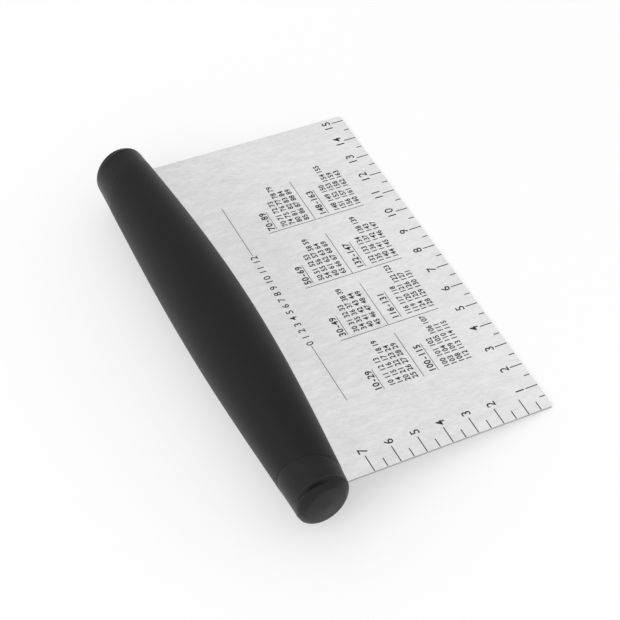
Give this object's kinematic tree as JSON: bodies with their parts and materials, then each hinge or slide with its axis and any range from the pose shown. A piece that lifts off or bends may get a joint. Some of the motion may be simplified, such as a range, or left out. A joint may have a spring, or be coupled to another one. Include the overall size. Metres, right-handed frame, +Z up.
{
  "type": "bowl scraper",
  "caption": "Dough and bench scraper: flat brushed steel blade with a printed centimetre rule, held along its back by a thick soft black barrel handle.",
  "frame": {"origin": "middle of the bounding box at table height, with the scraper lying on its handle and its scraping edge", "axes": "+X along the handle and the scraping edge, reading direction of the printed rule; +Y from the scraping edge to the handle; +Z up from the table"},
  "size_m": [0.1648, 0.101, 0.0326],
  "materials": {
    "blade_steel": "fine brushed, grain square to the scraping edge",
    "soft_grip": "matt soft-touch",
    "hard_plastic": "satin moulded",
    "pin_steel": "plain drawn wire, hidden"
  },
  "bodies": {
    "root": {"blade": "blade_steel", "grip_sleeve": "soft_grip", "handle_core": "hard_plastic", "end_plug_left": "hard_plastic", "end_plug_right": "hard_plastic", "tang_pin_left": "pin_steel", "tang_pin_middle": "pin_steel", "tang_pin_right": "pin_steel"}
  },
  "joints": []
}
